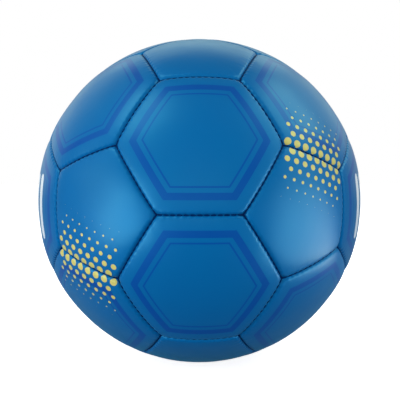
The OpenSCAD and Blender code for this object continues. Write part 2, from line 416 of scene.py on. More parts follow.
@dataclass
class PanelForm:
    """The Geometry Nodes tree that shapes a cover from its flat pattern.

    side_step moves each side far enough in the wrinkles' noise to have its own.
    """

    ball: BallShape
    roll: Roll
    side_step: float = 7.0

    def __post_init__(self) -> None:
        """Builds the tree once; every cover shares it."""
        ball = self.ball
        self.sizes = {
            "Corner Radius": ball.corner_r,
            "Face Drop": ball.face_drop,
            "Half Gap": ball.half_gap,
            "Stitch Angle": 2 * ball.half_edge / ball.stitches_per_seam,
            **as_inputs(self.roll),
        }
        own = ("Sides", "Side Angle", "Face Radius", "Hole Angle", "Seed")
        self.tree = open_form("cover_form", [*self.sizes, *own])
        self.add = partial(add_node, self.tree)
        self.given = self.add("NodeGroupInput").outputs
        self._lay_out()

    def _fade(self, distance: Node, reach: NodeSocket) -> Node:
        """Falls from 1 at no distance, by a factor of e with each reach."""
        return self.add("EXPONENT", self.add("DIVIDE", self.add("MULTIPLY", distance, -1.0), reach))

    def _aim(self) -> Aim:
        """Works out where each point of the pattern lies on the panel.

        Returns:
            The nodes that say so.
        """
        add, given = self.add, self.given
        names = ("azimuth", "spread", "inset")
        azimuth, spread, inset = (add(READ, name, data_type="FLOAT") for name in names)
        radius, hole = given["Corner Radius"], given["Hole Angle"]
        sector = add("DIVIDE", math.tau, given["Sides"])
        turned = add("FLOORED_MODULO", azimuth, sector)
        fold = add("SUBTRACT", turned, add("MULTIPLY", sector, 0.5))
        cos_side = add("COSINE", given["Side Angle"])
        sin_side = add("SINE", given["Side Angle"])
        across = add("MULTIPLY", add("COSINE", fold), cos_side)
        reach = add("SQRT", add("ADD", add("POWER", across, 2.0), add("POWER", sin_side, 2.0)))
        inset_angle = add("ARCSINE", add("DIVIDE", inset, add("MULTIPLY", radius, reach)))
        edge_angle = add("SUBTRACT", add("ARCTAN2", sin_side, across), inset_angle)
        run = add("MULTIPLY", add("SUBTRACT", edge_angle, hole), spread)
        angle = add("ADD", hole, run)
        sine, cosine = add("SINE", angle), add("COSINE", angle)

        rise = add("MULTIPLY", sin_side, cosine)
        gap = add("SUBTRACT", rise, add("MULTIPLY", across, sine))
        from_seam = add("MULTIPLY", radius, gap)
        next_fold = add("SUBTRACT", add("ABSOLUTE", fold), sector)
        next_across = add("MULTIPLY", add("COSINE", next_fold), cos_side)
        next_gap = add("SUBTRACT", rise, add("MULTIPLY", next_across, sine))
        from_next = add("MULTIPLY", radius, next_gap)
        heading = add(
            "ShaderNodeCombineXYZ",
            add("MULTIPLY", sine, add("COSINE", azimuth)),
            add("MULTIPLY", sine, add("SINE", azimuth)),
            cosine,
        )
        return Aim(
            heading,
            sine,
            cosine,
            from_seam,
            tight=add("SMOOTH_MIN", from_seam, from_next, given["Roll Blend"]),
            broad=add("SMOOTH_MIN", from_seam, from_next, given["Broad Blend"]),
            along=add("ARCSINE", add("MULTIPLY", sine, add("SINE", fold))),
            side=add("FLOOR", add("DIVIDE", azimuth, sector)),
        )

    def _depths(self, aim: Aim) -> list[Node]:
        """Works out what the seams take off the face.

        Args:
            aim: Where the point lies.

        Returns:
            The depth of the rounded edge, of the broad dip and of the pucker at a stitch.
        """
        add, given = self.add, self.given
        wave = add("COSINE", add("MULTIPLY", add("DIVIDE", aim.along, given["Stitch Angle"]), math.tau))
        wave = add("MULTIPLY_ADD", wave, 0.5, 0.5)
        between = add("SUBTRACT", 1.0, add("SQRT", wave))
        pinch = add("SUBTRACT", 1.0, add("MULTIPLY", between, given["Pinch Share"]))
        radius = add("MULTIPLY", given["Roll Radius"], pinch)
        inward = add("DIVIDE", add("SUBTRACT", aim.tight, given["Half Gap"]), radius)
        outward = add("SUBTRACT", 1.0, add("ADD", inward, 0.0, use_clamp=True))
        round_off = add("SQRT", add("SUBTRACT", 1.0, add("POWER", outward, 2.0)))
        pucker = add("MULTIPLY", given["Pucker Depth"], wave)
        return [
            add("MULTIPLY", radius, add("SUBTRACT", 1.0, round_off)),
            add("MULTIPLY", given["Broad Depth"], self._fade(aim.broad, given["Broad Reach"])),
            add("MULTIPLY", pucker, self._fade(aim.from_seam, given["Pucker Reach"])),
        ]

    def _unevenness(self, aim: Aim) -> Node:
        """Works out the wrinkles across the shoulders and the gentle unevenness of the face.

        Args:
            aim: Where the point lies.

        Returns:
            The height of both together.
        """
        add, given = self.add, self.given
        streak = add(
            "ShaderNodeCombineXYZ",
            add("DIVIDE", add("MULTIPLY", aim.along, given["Corner Radius"]), given["Wrinkle Spacing"]),
            add("DIVIDE", aim.from_seam, given["Wrinkle Length"]),
            add("MULTIPLY", aim.side, self.side_step),
        )
        crease = add(NOISE, streak, given["Seed"], Scale=1.0, Detail=1.0, noise_dimensions="4D")
        crease = add("MULTIPLY", add("SUBTRACT", crease, 0.5), given["Wrinkle Height"])
        close = self._fade(aim.broad, given["Wrinkle Reach"])
        crease = add("MULTIPLY", add("MULTIPLY", crease, 2.0), close)
        spot = add(VECTOR, aim.heading, given["Corner Radius"], operation="SCALE")
        scale = add("DIVIDE", 1.0, given["Uneven Size"])
        uneven = add(NOISE, spot, given["Seed"], scale, Detail=1.0, noise_dimensions="4D")
        uneven = add("MULTIPLY", add("SUBTRACT", uneven, 0.5), given["Uneven Height"])
        return add("ADD", add("MULTIPLY", uneven, 2.0), crease)

    def _lay_out(self) -> None:
        """Lays out the nodes: where a point lies, its relief, its height and its place."""
        add, given = self.add, self.given
        depth, skin = (add(READ, name, data_type="FLOAT") for name in ("depth", "skin"))
        aim = self._aim()
        drop = given["Face Drop"]
        swing = add("POWER", add("MULTIPLY", drop, aim.sine), 2.0)
        face = add("SQRT", add("SUBTRACT", add("POWER", given["Face Radius"], 2.0), swing))
        face = add("SUBTRACT", face, add("MULTIPLY", drop, aim.cosine))
        relief = self._unevenness(aim)
        for taken in self._depths(aim):
            relief = add("SUBTRACT", relief, taken)
        height = add("SUBTRACT", add("MULTIPLY_ADD", relief, skin, face), depth)
        place = add(VECTOR, aim.heading, height, operation="SCALE")
        shaped = add("GeometryNodeSetPosition", given["Geometry"], None, place)
        kept = add(
            "GeometryNodeStoreNamedAttribute",
            shaped,
            None,
            "from_seam",
            aim.from_seam,
            data_type="FLOAT",
            domain="POINT",
        )
        close_form(add, kept, given["Material"])

    def shape(self, pattern: CoverPattern, name: str, seed: float, finish: Material) -> Mesh:
        """Runs the tree on a pattern.

        Args:
            pattern: The cover's pattern.
            name: Name of the finished mesh.
            seed: Number that sets this panel's own unevenness.
            finish: The cover's material.

        Returns:
            The finished mesh, in the panel's own frame with its axis up +Z.
        """
        values = {
            **self.sizes,
            "Sides": float(pattern.kind.value),
            "Side Angle": self.ball.side_angle(pattern.kind),
            "Face Radius": self.ball.face_r(pattern.kind),
            "Hole Angle": pattern.hole_r / self.ball.corner_r,
            "Seed": seed,
            "Material": finish,
        }
        return run_form(self.tree, pattern.mesh(), name, values)


class Ring(NamedTuple):
    """One ring of a cover's pattern, by the attributes of its points.

    spread is how far it has gone from the middle to its line, inset is how far that line
    lies from the seam, depth is its depth below the face, and skin is 1 where the face's
    relief applies to it.
    """

    spread: float
    inset: float
    depth: float
    skin: float


@dataclass(frozen=True)
class CoverPattern:
    """Rings and columns of a cover's pattern, and the mesh that they make."""

    ball: BallShape
    roll: Roll
    kind: PanelKind
    hole_r: float = 0.0
    columns_per_stitch: int = 5
    face_rings: int = 18
    shoulder_rings: int = 12
    roll_rings: int = 8
    rim_rings: int = 5
    rim_r: float = 0.4 * MM
    shoulder_start: float = 7.0 * MM
    inner_rings: int = 6

    @property
    def hem_inset(self) -> float:
        """How far the inner side of the turned-in edge lies from the seam."""
        return self.ball.half_gap + self.ball.hem_t

    @property
    def rim_share(self) -> float:
        """Share of the face that the rounded rim of a hole takes.

        Returns:
            The share, or zero where there is no hole.
        """
        if not self.hole_r:
            return 0.0
        side_run = math.tan(self.ball.side_angle(self.kind)) * self.ball.corner_r
        return self.rim_r / (side_run - self.shoulder_start - self.hole_r)

    def _hole_rings(self) -> list[Ring]:
        """Lists the rings of a hole's wall and its rounded rim.

        Returns:
            The rings from the inside up, or none where there is no hole.
        """
        if not self.hole_r:
            return []
        cover_t = self.ball.cover_t
        out = [Ring(0.0, self.shoulder_start, depth, 0.0) for depth in (cover_t, cover_t / 2)]
        for step in range(self.rim_rings):
            turn = math.pi / 2 * step / self.rim_rings
            share = self.rim_share * (1 - math.cos(turn))
            out.append(Ring(share, self.shoulder_start, self.rim_r * (1 - math.sin(turn)), 1.0))
        return out

    def _face_rings(self) -> list[Ring]:
        """Lists the rings of the face, its shoulder and the roll into the seam.

        Returns:
            The rings from the middle out.
        """
        lead, start, gap = self.rim_share, self.shoulder_start, self.ball.half_gap
        radius = self.roll.roll_radius
        out = []
        first = 0 if self.hole_r else 1
        for step in range(first, self.face_rings + 1):
            out.append(Ring(lead + (1 - lead) * step / self.face_rings, start, 0.0, 1.0))
        for step in range(1, self.shoulder_rings + 1):
            part = step / self.shoulder_rings
            out.append(Ring(1.0, start * ((gap + radius) / start) ** part, 0.0, 1.0))
        for step in range(1, self.roll_rings + 1):
            turn = math.pi / 2 * (1 - step / self.roll_rings)
            out.append(Ring(1.0, gap + radius * (1 - math.cos(turn)), 0.0, 1.0))
        return out

    def _hem_rings(self) -> list[Ring]:
        """Lists the rings of the turned-in edge and the inside.

        Returns:
            The rings down the edge, up behind it and back to the middle.
        """
        ball, hem = self.ball, self.hem_inset
        wall_top = (ball.hem_depth + self.roll.roll_radius) / 2
        out = [
            Ring(1.0, ball.half_gap, wall_top, 0.0),
            Ring(1.0, ball.half_gap, ball.hem_depth, 0.0),
            Ring(1.0, hem, ball.hem_depth, 0.0),
            Ring(1.0, hem, ball.cover_t, 0.0),
        ]
        for step in range(self.inner_rings - 1, 0, -1):
            out.append(Ring(step / self.inner_rings, hem, ball.cover_t, 0.0))
        return out

    def azimuths(self) -> np.ndarray:
        """Spaces the columns round the panel's axis, evenly along each seam.

        Returns:
            The angle of each column.
        """
        count = self.columns_per_stitch * self.ball.stitches_per_seam
        along = np.linspace(-1, 1, count, endpoint=False) * self.ball.half_edge
        side_angle = self.ball.side_angle(self.kind)
        fold = np.arctan2(np.sin(along), math.sin(side_angle) * np.cos(along))
        sector = math.tau / self.kind.value
        return np.concatenate([fold + (i + 0.5) * sector for i in range(self.kind.value)])

    @cache
    def mesh(self) -> Mesh:
        """Makes the closed pattern mesh once; the tree puts its points in place.

        Returns:
            A mesh whose points hold azimuth, spread, inset, depth and skin.
        """
        rings = [*self._hole_rings(), *self._face_rings(), *self._hem_rings()]
        azimuths = self.azimuths()
        count, last = len(azimuths), len(rings) - 1
        columns = [(j, (j + 1) % count) for j in range(count)]
        table = [(a, *ring) for ring in rings for a in azimuths]
        faces = []
        for i in range(last + 1 if self.hole_r else last):
            low, high = i * count, (i + 1) % len(rings) * count
            faces += [(low + j, high + j, high + k, low + k) for j, k in columns]
        if not self.hole_r:
            pole, inner = len(table), last * count
            table.append((0.0, *Ring(0.0, self.shoulder_start, 0.0, 1.0)))
            table.append((0.0, *Ring(0.0, self.hem_inset, self.ball.cover_t, 0.0)))
            faces += [(pole, j, k) for j, k in columns]
            faces += [(pole + 1, inner + k, inner + j) for j, k in columns]
        mesh = bpy.data.meshes.new(f"{self.kind.name.lower()}_pattern")
        mesh.from_pydata(np.zeros((len(table), 3)), [], faces)
        for name, values in zip(("azimuth", *Ring._fields), np.array(table, np.float32).T):
            mesh.attributes.new(name, "FLOAT", "POINT").data.foreach_set("value", values.copy())
        return mesh


@dataclass(frozen=True)
class Accent:
    """A field of dots: its middle, its ways out and along its seam, and its panels' axes."""

    centre: Vector
    out: Vector
    along: Vector
    axes: tuple[Vector, ...] = ()


@dataclass(frozen=True)
class PrintedCover:
    """Smooth polyurethane leather, calendered with a satin skin and printed.

    The skin gives a soft, wide gloss that pales towards the rim, over a flat saturated
    ink. A fine grain and a faint mottle break the gloss up, and ink and gloss are
    slightly uneven from patch to patch.
    """

    name: str
    framed: bool
    barred: bool
    ball: BallShape
    ink: str = "#0063a1"
    line: str = "#00489a"
    accent: str = "#cfc46a"
    white: str = "#e6edf2"
    frame_inset: float = 8.0 * MM
    frame_w: float = 3.2 * MM
    hairline_inset: float = 12.0 * MM
    hairline_w: float = 0.8 * MM
    dot_r: float = 1.85 * MM
    dot_pitch: float = 4.9 * MM
    dot_row: float = 4.3 * MM
    dot_fade: float = 25.0 * MM
    dot_reach: float = 17.4 * MM
    bar_l: float = 34.0 * MM
    bar_w: float = 6.5 * MM
    bar_gap: float = 4.5 * MM
    bar_shift: float = 6.0 * MM
    roughness: float = 0.33
    ior: float = 1.45
    specular: float = 0.45
    gloss_tint: str = "#80f9ff"
    sheen: float = 0.1
    sheen_roughness: float = 0.4
    sheen_tint: str = "#30e8ff"
    grain_size: float = 0.55 * MM
    grain_depth: float = 0.006 * MM
    grain_strength: float = 0.6
    mottle_size: float = 2.8 * MM
    mottle_depth: float = 0.012 * MM
    patch_size: float = 14.0 * MM
    patch_ink: float = 0.16
    patch_gloss: float = 0.14

    @cache
    def build(self) -> Material:
        """Builds the material once for the covers that share it.

        Returns:
            The cover's finish with its print.
        """
        made = bpy.data.materials.new(self.name)
        add = fresh_nodes(made)
        place = add("ShaderNodeTexCoord").outputs["Object"]
        patch = add(NOISE, place, 1 / self.patch_size, Detail=3.0)
        uneven = add("MULTIPLY", patch, self.patch_ink)
        colour = add(MIX, uneven, linear(self.ink), linear(self.line), data_type="RGBA")
        layers = [(mask, self.line) for mask in self._frames(add)]
        layers.append((self._dots(add, place), self.accent))
        if self.barred:
            layers.append((self._bars(add, place), self.white))
        for mask, ink in layers:
            colour = add(MIX, mask, colour, linear(ink), data_type="RGBA")
        mottle = add(NOISE, place, 1 / self.mottle_size, Detail=2.0)
        soft = add(BUMP, Strength=1.0, Distance=self.mottle_depth, Height=mottle)
        grain = add(NOISE, place, 1 / self.grain_size, Detail=1.0)
        bump = add(
            BUMP, Strength=self.grain_strength, Distance=self.grain_depth, Height=grain, Normal=soft
        )
        smoothest = self.roughness - self.patch_gloss / 2
        skin = add(
            SKIN,
            Base_Color=colour,
            Roughness=add("MULTIPLY_ADD", patch, self.patch_gloss, smoothest),
            IOR=self.ior,
            Specular_IOR_Level=self.specular,
            Specular_Tint=linear(self.gloss_tint),
            Sheen_Weight=self.sheen,
            Sheen_Roughness=self.sheen_roughness,
            Sheen_Tint=linear(self.sheen_tint),
            Normal=bump,
        )
        add("ShaderNodeOutputMaterial", skin)
        return made

    def _frames(self, add: Adder) -> list[Node]:
        """Gives the masks of the frame and the hairline that follow a panel's seams.

        Args:
            add: add_node for the material's tree.

        Returns:
            The two masks, or none for a cover without a frame.
        """
        if not self.framed:
            return []
        seam = add("ShaderNodeAttribute", attribute_name="from_seam").outputs["Fac"]
        lines = ((self.frame_inset, self.frame_w), (self.hairline_inset, self.hairline_w))
        return [
            add("LESS_THAN", add("ABSOLUTE", add("SUBTRACT", seam, inset)), width / 2)
            for inset, width in lines
        ]

    def _dots(self, add: Adder, place: NodeSocket) -> Node:
        """Gives the mask of rows of dots that shrink away from the seam they sit on.

        Args:
            add: add_node for the material's tree.
            place: Where the shaded point is.

        Returns:
            A node that is 1 inside a dot. The panel's attributes name the field's centre
            and its two directions.
        """
        centre, outward, sideways = (
            add("ShaderNodeAttribute", attribute_name=name).outputs["Vector"]
            for name in ("field_centre", "field_out", "field_along")
        )
        away = add(VECTOR, place, centre, operation="SUBTRACT")
        out = add(VECTOR, away, outward, operation="DOT_PRODUCT")
        along = add(VECTOR, away, sideways, operation="DOT_PRODUCT")
        row = add("FLOOR", add("DIVIDE", out, self.dot_row))
        stagger = add("MULTIPLY", add("FLOORED_MODULO", row, 2.0), 0.5)
        column = add("FLOOR", add("ADD", add("DIVIDE", along, self.dot_pitch), stagger))
        row_at = add("MULTIPLY", add("ADD", row, 0.5), self.dot_row)
        column_at = add("ADD", add("SUBTRACT", column, stagger), 0.5)
        column_at = add("MULTIPLY", column_at, self.dot_pitch)
        fade = add("SUBTRACT", 1.0, add("DIVIDE", add("ABSOLUTE", row_at), self.dot_fade))
        radius = add("MULTIPLY", add("MAXIMUM", fade, 0.0), self.dot_r)
        across = add("POWER", add("SUBTRACT", out, row_at), 2.0)
        beside = add("POWER", add("SUBTRACT", along, column_at), 2.0)
        inside = add("LESS_THAN", add("SQRT", add("ADD", across, beside)), radius)
        within = add("LESS_THAN", add("ABSOLUTE", column_at), self.dot_reach)
        return add("MULTIPLY", inside, within)

    def _bars(self, add: Adder, place: NodeSocket) -> Node:
        """Gives the mask of two upright bars with round ends on a side hexagon.

        Args:
            add: add_node for the material's tree.
            place: Where the shaded point is.

        Returns:
            A node that is 1 inside a bar.
        """
        split = add("ShaderNodeSeparateXYZ", place)
        x, y, z = (split.outputs[i] for i in range(3))
        outward = self.ball.side_axis
        across = add("MULTIPLY", add("ABSOLUTE", x), -outward.y)
        across = add("ADD", add("MULTIPLY_ADD", y, outward.x, across), self.bar_shift)
        offset = (self.bar_w + self.bar_gap) / 2
        half = self.bar_w / 2
        beside = add("ABSOLUTE", add("SUBTRACT", add("ABSOLUTE", across), offset))
        above = add("MAXIMUM", add("SUBTRACT", add("ABSOLUTE", z), self.bar_l / 2 - half), 0.0)
        spread = add("ADD", add("POWER", beside, 2.0), add("POWER", above, 2.0))
        return add("LESS_THAN", spread, half**2)


class WeaveKind(Enum):
    """How a plain material's surface is made up."""

    CELLS = "cells"
    WOVEN = "woven"
    TWISTED = "twisted"
    SMOOTH = "smooth"


@dataclass(frozen=True)
class PlainFinish:
    """Finish of the thread, a ply, the bladder or the valve: one colour broken up by its surface."""

    name: str
    colour: str
    shade: str
    surface: WeaveKind
    size: float
    roughness: float
    relief: float
    strength: float = 0.6
    specular: float = 0.5
    gloss_tint: str = "#ffffff"

    def build(self) -> Material:
        """Builds the material.

        Returns:
            The finish, with cells for foam, threads for cloth, strands for thread and haze
            for rubber.
        """
        made = bpy.data.materials.new(self.name)
        add = fresh_nodes(made)
        place = add("ShaderNodeTexCoord").outputs["Object"]
        if self.surface is WeaveKind.CELLS:
            height = add("ShaderNodeTexVoronoi", place, 1 / self.size).outputs["Distance"]
        elif self.surface is WeaveKind.WOVEN:
            scale = WAVE_STEP / self.size
            rows = [add("ShaderNodeTexWave", place, scale, bands_direction=way) for way in "XYZ"]
            height = add("MAXIMUM", add("MAXIMUM", rows[0], rows[1]), rows[2])
        else:
            detail = 2.0 if self.surface is WeaveKind.TWISTED else 3.0
            height = add(NOISE, place, 1 / self.size, Detail=detail)
        skin = add(
            SKIN,
            Base_Color=add(MIX, height, linear(self.colour), linear(self.shade), data_type="RGBA"),
            Roughness=self.roughness,
            Specular_IOR_Level=self.specular,
            Specular_Tint=linear(self.gloss_tint),
            Normal=add(BUMP, Strength=self.strength, Distance=self.relief, Height=height),
        )
        add("ShaderNodeOutputMaterial", skin)
        return made


@dataclass(frozen=True)
class Covers:
    frame: dict
    ball: BallShape
    roll: Roll
    valve_hole_r: float = 4.0 * MM
    seed_step: float = 3.7

    def accents(self) -> list[Accent]:
        """Lists the fields of dots, one on each of four seams that turn into each other.

        Returns:
            The fields, each with the axes of the two panels that carry it.
        """
        golden = self.ball.golden
        found = []
        for flip in ((1, 1, 1), (-1, 1, -1), (-1, -1, 1), (1, -1, -1)):
            turn = Matrix.Diagonal(Vector(flip))
            pentagon = turn @ Vector((-1, -golden, 0))
            hexagon = turn @ Vector((-1, -1, -1))
            # The middle of the seam's ends, which lie at 2a + b and 2a + c
            middle = unit(3 * pentagon + golden**2 * hexagon)
            out = unit(hexagon - middle * hexagon.dot(middle))
            centre, axes = middle * self.ball.corner_r, (unit(pentagon), unit(hexagon))
            found.append(Accent(centre, out, middle.cross(out), axes))
        return found

    def finish(self, axis: Vector, kind: PanelKind) -> Material:
        """Picks a cover's finish, which has bars on the two side hexagons of the front.

        Args:
            axis: The panel's axis, at length one.
            kind: Pentagon or hexagon.

        Returns:
            The material.
        """
        barred = (Vector((abs(axis.x), axis.y, axis.z)) - self.ball.side_axis).length < SAME
        name = f"printed_pu_leather_{kind.name.lower()}{'_barred' if barred else ''}"
        return PrintedCover(name, kind is HEXAGON, barred, self.ball).build()

    def build(self) -> list[Object]:
        """Builds every cover.

        Returns:
            The cover objects.
        """
        form, accents = PanelForm(self.ball, self.roll), self.accents()
        covers = []
        for index, node in enumerate(sorted(n for n in self.frame["nodes"] if "_panel" in n)):
            kind = PENTAGON if node.startswith("pentagon") else HEXAGON
            hole_r = self.valve_hole_r if node == "valve_panel" else 0.0
            pattern = CoverPattern(self.ball, self.roll, kind, hole_r)
            axis = self.axis_of(node, kind)
            name = node.replace("panel", "cover")
            mesh = form.shape(pattern, name, index * self.seed_step, self.finish(axis, kind))
            mesh.transform(self.stand(axis, kind))
            self.mark(mesh, axis, accents)
            cover = put_in_scene(name, mesh)
            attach(cover, "ball")
            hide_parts(node)
            covers.append(cover)
            LOG.info("%s stands for %s with %d faces", name, node, len(mesh.polygons))
        return covers

    def axis_of(self, node: str, kind: PanelKind) -> Vector:
        """Finds the exact axis of a CAD panel from its place in the frame.

        Args:
            node: The panel's name.
            kind: Pentagon or hexagon.

        Returns:
            The axis, at length one.
        """
        low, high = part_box(node)
        rough = unit((Vector(low) + Vector(high)) / 2)
        nearest = sorted((unit(a) for a in self.ball.pentagon_axes), key=rough.dot)[-3:]
        return nearest[-1] if kind is PENTAGON else unit(sum(nearest, Vector()))

    def stand(self, axis: Vector, kind: PanelKind) -> Matrix:
        """Gives the matrix that puts a panel on its axis with a corner along its +X.

        Args:
            axis: The panel's axis, at length one.
            kind: Pentagon or hexagon.

        Returns:
            The matrix.
        """
        corner = self.ball.first_corner(axis, kind)
        x = unit(corner - axis * corner.dot(axis))
        return Matrix((x, axis.cross(x), axis)).transposed().to_4x4()

    def mark(self, mesh: Mesh, axis: Vector, accents: list[Accent]) -> None:
        """Stores on a cover where its dots are centred; the ball's centre leaves none.

        Args:
            mesh: The cover's mesh.
            axis: The panel's axis, at length one.
            accents: The fields of dots.
        """
        held = [a for a in accents if any((axis - b).length < SAME for b in a.axes)]
        spot = held[-1] if held else Accent(Vector(), Vector((1, 0, 0)), Vector((0, 1, 0)))
        for part in ("centre", "out", "along"):
            layer = mesh.attributes.new(f"field_{part}", "FLOAT_VECTOR", "POINT")
            layer.data.foreach_set("vector", np.tile(getattr(spot, part), len(mesh.vertices)))


@dataclass(frozen=True)
class Stitch:
    """One stitch, in metres; round the pentagons the stitches all but touch."""

    thread_radius: float = 0.36 * MM
    length_share: float = 0.7
    tight_share: float = 0.97
    sink: float = 0.34 * MM
    sides: int = 8
    rings: int = 10


@dataclass
class Stitching:
    """The stitches of every seam, laid by a Geometry Nodes tree.

    bend says how sharply a stitch turns down at its ends, taper is above 1 so that the
    ends keep some thickness, and lean is how far a stitch may turn about its length, its
    side and its height, in radians.
    """

    ball: BallShape
    roll: Roll
    stitch: Stitch
    bend: float = 4.0
    taper: float = 1.02
    lean: tuple[float, float, float] = (0.05, 0.02, 0.05)
    first_seed: int = 11
    thread: PlainFinish = PlainFinish(
        "waxed_polyester_thread",
        "#021a48",
        "#0a3268",
        WeaveKind.TWISTED,
        size=0.45 * MM,
        roughness=0.55,
        relief=0.45 * MM / 8,
        strength=0.5,
        specular=0.2,
        gloss_tint="#3f6fc0",
    )

    def __post_init__(self) -> None:
        """Builds the tree that both rows of stitches share."""
        sizes, counts = ("Length", "Sink", "Thread Radius"), ("Seed", "Sides", "Rings")
        self.tree = open_form("stitch_row", sizes, counts)
        self.add = partial(add_node, self.tree)
        self.given = self.add("NodeGroupInput").outputs
        self._lay_out()

    def _one(self) -> Node:
        """Makes one arched stitch that sinks and thins at its ends.

        Returns:
            The node with its mesh, which lies along X.
        """
        add, given = self.add, self.given
        half = add("MULTIPLY", given["Length"], 0.5)
        start = add("ShaderNodeCombineXYZ", add("MULTIPLY", half, -1.0))
        end = add("ShaderNodeCombineXYZ", half)
        line = add("GeometryNodeCurvePrimitiveLine", start, end)
        line = add("GeometryNodeResampleCurve", line, None, given["Rings"])
        x = add("ShaderNodeSeparateXYZ", add("GeometryNodeInputPosition")).outputs["X"]
        share = add("POWER", add("ABSOLUTE", add("DIVIDE", x, half)), self.bend)
        down = add("MULTIPLY", add("MULTIPLY", share, given["Sink"]), -1.0)
        lift = add("ShaderNodeCombineXYZ", 0.0, 0.0, down)
        line = add("GeometryNodeSetPosition", line, None, None, lift)
        taper = add("SQRT", add("SUBTRACT", self.taper, share))
        line = add("GeometryNodeSetCurveRadius", line, None, taper)
        ring = add("GeometryNodeCurvePrimitiveCircle", given["Sides"], given["Thread Radius"])
        return add("GeometryNodeCurveToMesh", line, ring, Fill_Caps=True)

    def _lay_out(self) -> None:
        """Lays out the nodes: one stitch, and one copy of it on every seam edge."""
        add, given = self.add, self.given
        one = self._one()
        ends = add("GeometryNodeInputMeshEdgeVertices").outputs
        along = add(VECTOR, ends["Position 2"], ends["Position 1"], operation="SUBTRACT")
        middle = add("GeometryNodeInputPosition")
        row = add("GeometryNodeCaptureAttribute", given["Geometry"], domain="EDGE")
        row.capture_items.new("VECTOR", "along")
        self.tree.links.new(along.outputs[0], row.inputs["along"])
        points = add("GeometryNodeMeshToPoints", row.outputs["Geometry"], mode="EDGES")
        level = add("FunctionNodeAlignRotationToVector", Vector=row.outputs["along"], axis="X")
        upright = add("FunctionNodeAlignRotationToVector", level, None, middle, axis="Z", pivot_axis="X")
        lean, seed = Vector(self.lean), given["Seed"]
        wobble = add("FunctionNodeRandomValue", -lean, lean, None, seed, data_type="FLOAT_VECTOR")
        tilt = add("FunctionNodeEulerToRotation", wobble)
        turn = add("FunctionNodeRotateRotation", upright, tilt, rotation_space="LOCAL")
        laid = add("GeometryNodeInstanceOnPoints", points, None, one, Rotation=turn)
        close_form(add, laid, given["Material"])

    def groove_depth(self, along: np.ndarray) -> np.ndarray:
        """Depth of the thread's centre below the face, along a seam.

        Args:
            along: Angles along the seam from its middle.

        Returns:
            Depths in metres, greater towards the corners, where the covers dip.
        """
        ball, roll = self.ball, self.roll
        side = ball.side_angle(HEXAGON)
        sector = math.tau / HEXAGON.value
        polar = np.arccos(math.cos(side) * np.cos(along))
        fold = np.arctan2(np.sin(np.abs(along)), math.sin(side) * np.cos(along))
        rise = math.sin(side) * np.cos(polar)
        drop = np.cos(fold - sector) * math.cos(side) * np.sin(polar)
        from_next = ball.corner_r * (rise - drop)
        # The same rounding as a Math node's smooth minimum
        blend = np.maximum(roll.broad_blend - np.abs(from_next), 0) / roll.broad_blend
        broad = np.minimum(from_next, 0) - blend**3 * roll.broad_blend / 6
        dip = roll.broad_depth * np.exp(-broad / roll.broad_reach)
        reach = roll.roll_radius + self.stitch.thread_radius
        nest = roll.roll_radius - math.sqrt(reach**2 - (roll.roll_radius + ball.half_gap) ** 2)
        return dip + nest + roll.pucker_depth / 2

    def rows(self, kind: PanelKind) -> Mesh:
        """Makes the seam lines of one kind, with one edge for each stitch.

        Args:
            kind: Which seams: the pentagons' own, or those between hexagons.

        Returns:
            A mesh of edges.
        """
        ball = self.ball
        drop, face = ball.face_drop, ball.face_r(HEXAGON)
        side = ball.side_angle(HEXAGON)
        along = np.linspace(-1, 1, ball.stitches_per_seam + 1) * ball.half_edge
        cos_polar = math.cos(side) * np.cos(along)
        radius = np.sqrt(face**2 - drop**2 * (1 - cos_polar**2)) - drop * cos_polar
        radius = radius - self.groove_depth(along)
        points, edges = [], []
        for seam_kind, first, second in ball.seams:
            if seam_kind is not kind:
                continue
            x = unit(unit(first) + unit(second))
            y = unit(unit(first) - unit(second))
            base = len(points)
            for angle, reach in zip(along, radius):
                points.append((x * math.cos(angle) + y * math.sin(angle)) * float(reach))
            edges += [(base + i, base + i + 1) for i in range(len(along) - 1)]
        mesh = bpy.data.meshes.new(f"{kind.name.lower()}_seam_lines")
        mesh.from_pydata(points, edges, [])
        return mesh

    def build(self) -> None:
        """Lays the stitches of both kinds of seam."""
        ball, stitch = self.ball, self.stitch
        thread = self.thread.build()
        pitch = 2 * ball.half_edge * ball.corner_r / ball.stitches_per_seam
        shares = {PENTAGON: stitch.tight_share, HEXAGON: stitch.length_share}
        for seed, (kind, share) in enumerate(shares.items(), start=self.first_seed):
            name = f"{kind.name.lower()}_seam_stitches"
            own = {"Length": pitch * share, "Seed": seed, "Material": thread}
            mesh = run_form(self.tree, self.rows(kind), name, {**as_inputs(stitch), **own})
            piece = put_in_scene(name, mesh)
            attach(piece, "ball")
            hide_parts(f"{kind.name.lower()}_seam_threads")
            LOG.info("%s has %d faces", name, len(mesh.polygons))


